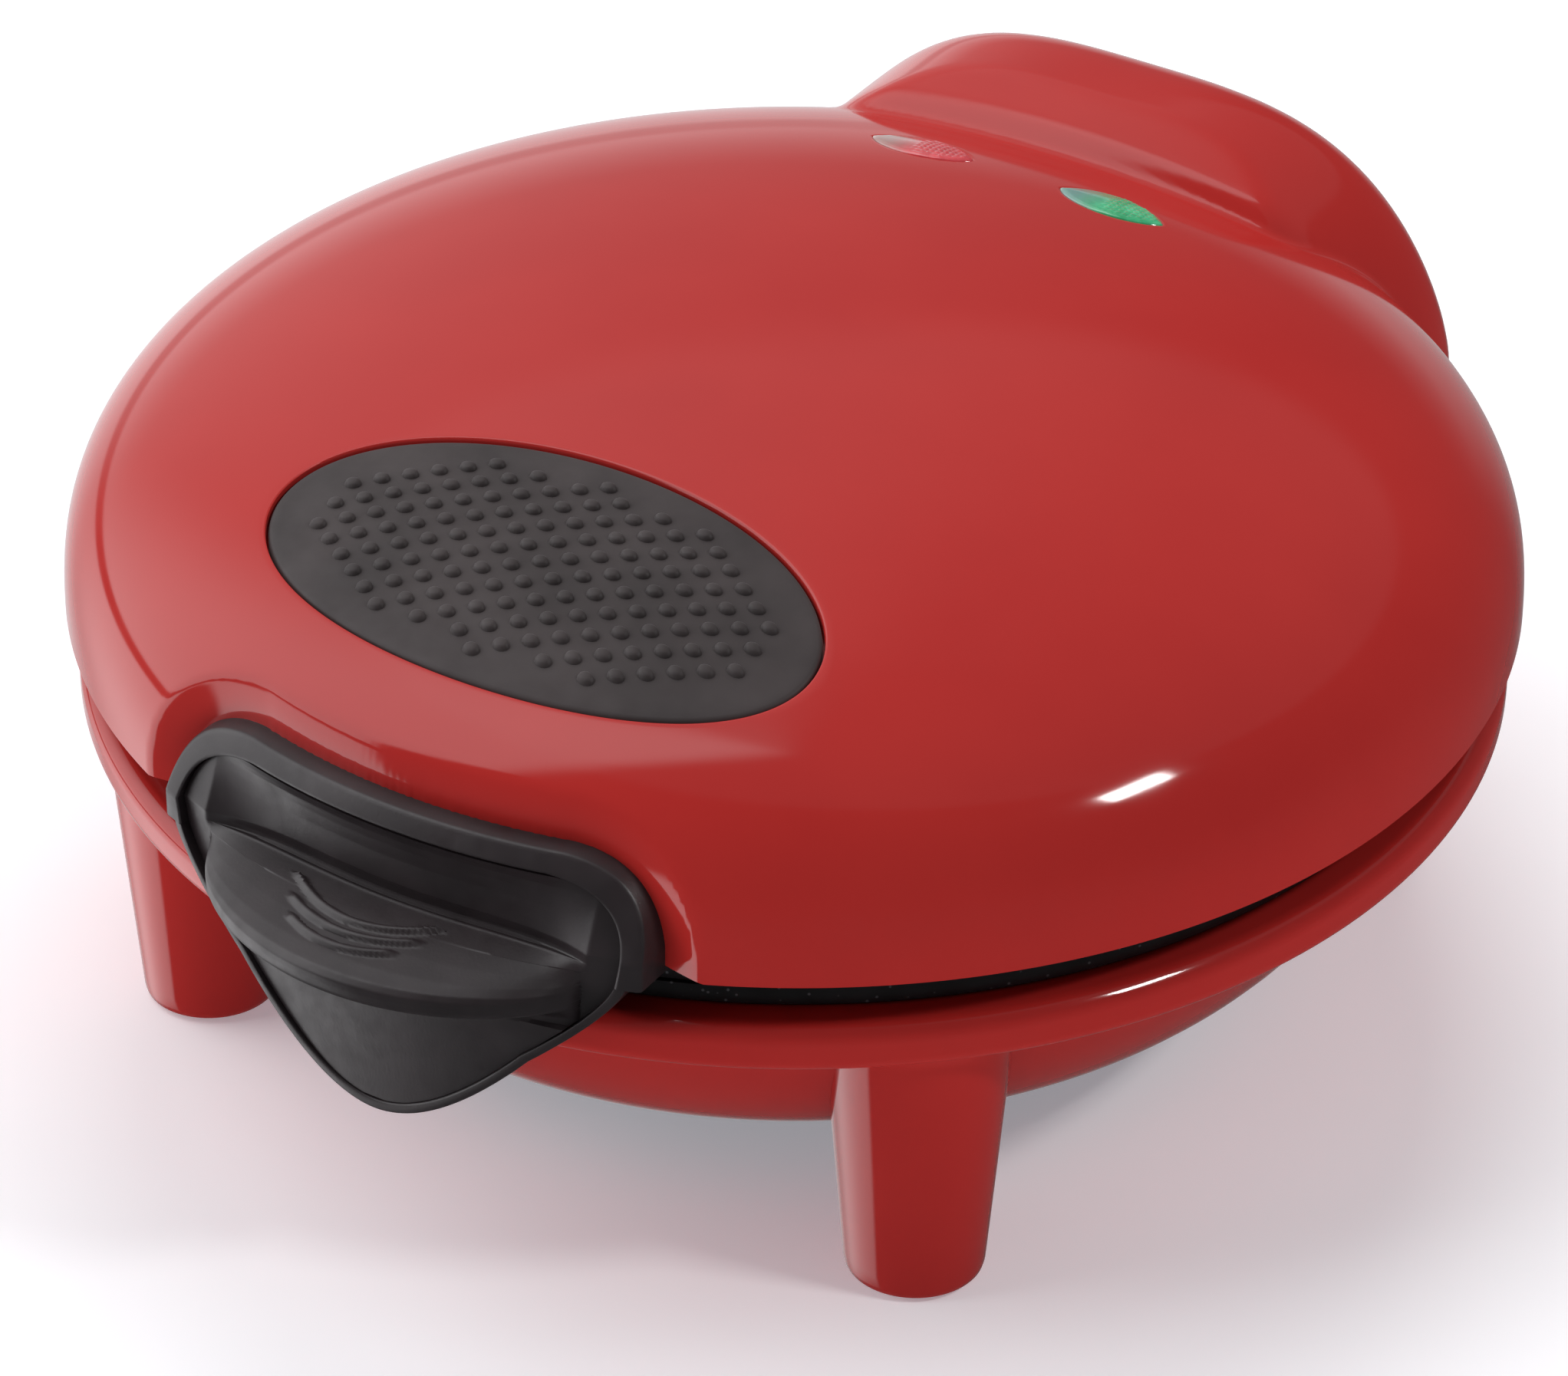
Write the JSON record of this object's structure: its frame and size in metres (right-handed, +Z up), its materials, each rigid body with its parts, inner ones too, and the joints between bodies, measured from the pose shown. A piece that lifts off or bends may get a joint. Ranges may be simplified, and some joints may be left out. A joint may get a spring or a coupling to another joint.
{
  "type": "donut maker",
  "caption": "Round clamshell electric donut maker: domed lid with a rear hinge hump, front handle with a finger lip, ringed baking plates and a bowl base on legs.",
  "frame": {"origin": "on the floor, midway between the front of the handle lip and the back of the hinge hump, on the plane of symmetry", "axes": "+Z up, +Y towards the hinge, -Y towards the handle, +X to the right of someone facing the handle"},
  "size_m": [0.216, 0.235, 0.1035],
  "materials": {
    "red_plastic": "moulded, high gloss",
    "black_plastic": "moulded, fine satin texture",
    "soft_rubber": "moulded, matt",
    "non_stick": "cast, black non-stick coating",
    "steel": "zinc plated",
    "element_sheath": "heat darkened tube",
    "red_lens": "clear tinted, ribbed inside",
    "green_lens": "clear tinted, ribbed inside",
    "neon_glass": "clear",
    "white_resin": "moulded, matt"
  },
  "bodies": {
    "base": {"base_shell": "red_plastic", "hinge_pin": "steel", "base_cover": "black_plastic", "base_cover_screw_1": "steel", "base_cover_screw_2": "steel", "base_cover_screw_3": "steel", "base_cover_screw_4": "steel", "foot_pad_1": "soft_rubber", "foot_pad_2": "soft_rubber", "foot_pad_3": "soft_rubber", "foot_pad_4": "soft_rubber", "lower_plate": "non_stick", "lower_element": "element_sheath", "lower_reflector": "steel", "lower_reflector_screw": "steel", "lower_plate_screw_1": "steel", "lower_plate_screw_2": "steel", "lower_plate_screw_3": "steel", "thermostat": "white_resin", "thermal_fuse": "white_resin", "terminal_block": "white_resin", "cable_gland": "soft_rubber"},
    "lid": {"lid_shell": "red_plastic", "top_pad": "soft_rubber", "power_lens": "red_lens", "ready_lens": "green_lens", "lamp_holder": "white_resin", "lamp_holder_screw": "steel", "power_lamp": "neon_glass", "ready_lamp": "neon_glass", "handle_surround": "black_plastic", "handle_grip": "black_plastic", "handle_screw_1": "steel", "handle_screw_2": "steel", "upper_plate": "non_stick", "upper_element": "element_sheath", "upper_reflector": "steel", "upper_reflector_screw": "steel", "upper_plate_screw_1": "steel", "upper_plate_screw_2": "steel", "upper_plate_screw_3": "steel"}
  },
  "joints": [
    {"name": "lid_hinge", "type": "hinge", "parent": "base", "child": "lid", "pos_m": [0, 0.111, 0.058], "axis": [-1, 0, 0], "range_deg": [0, 100]}
  ]
}
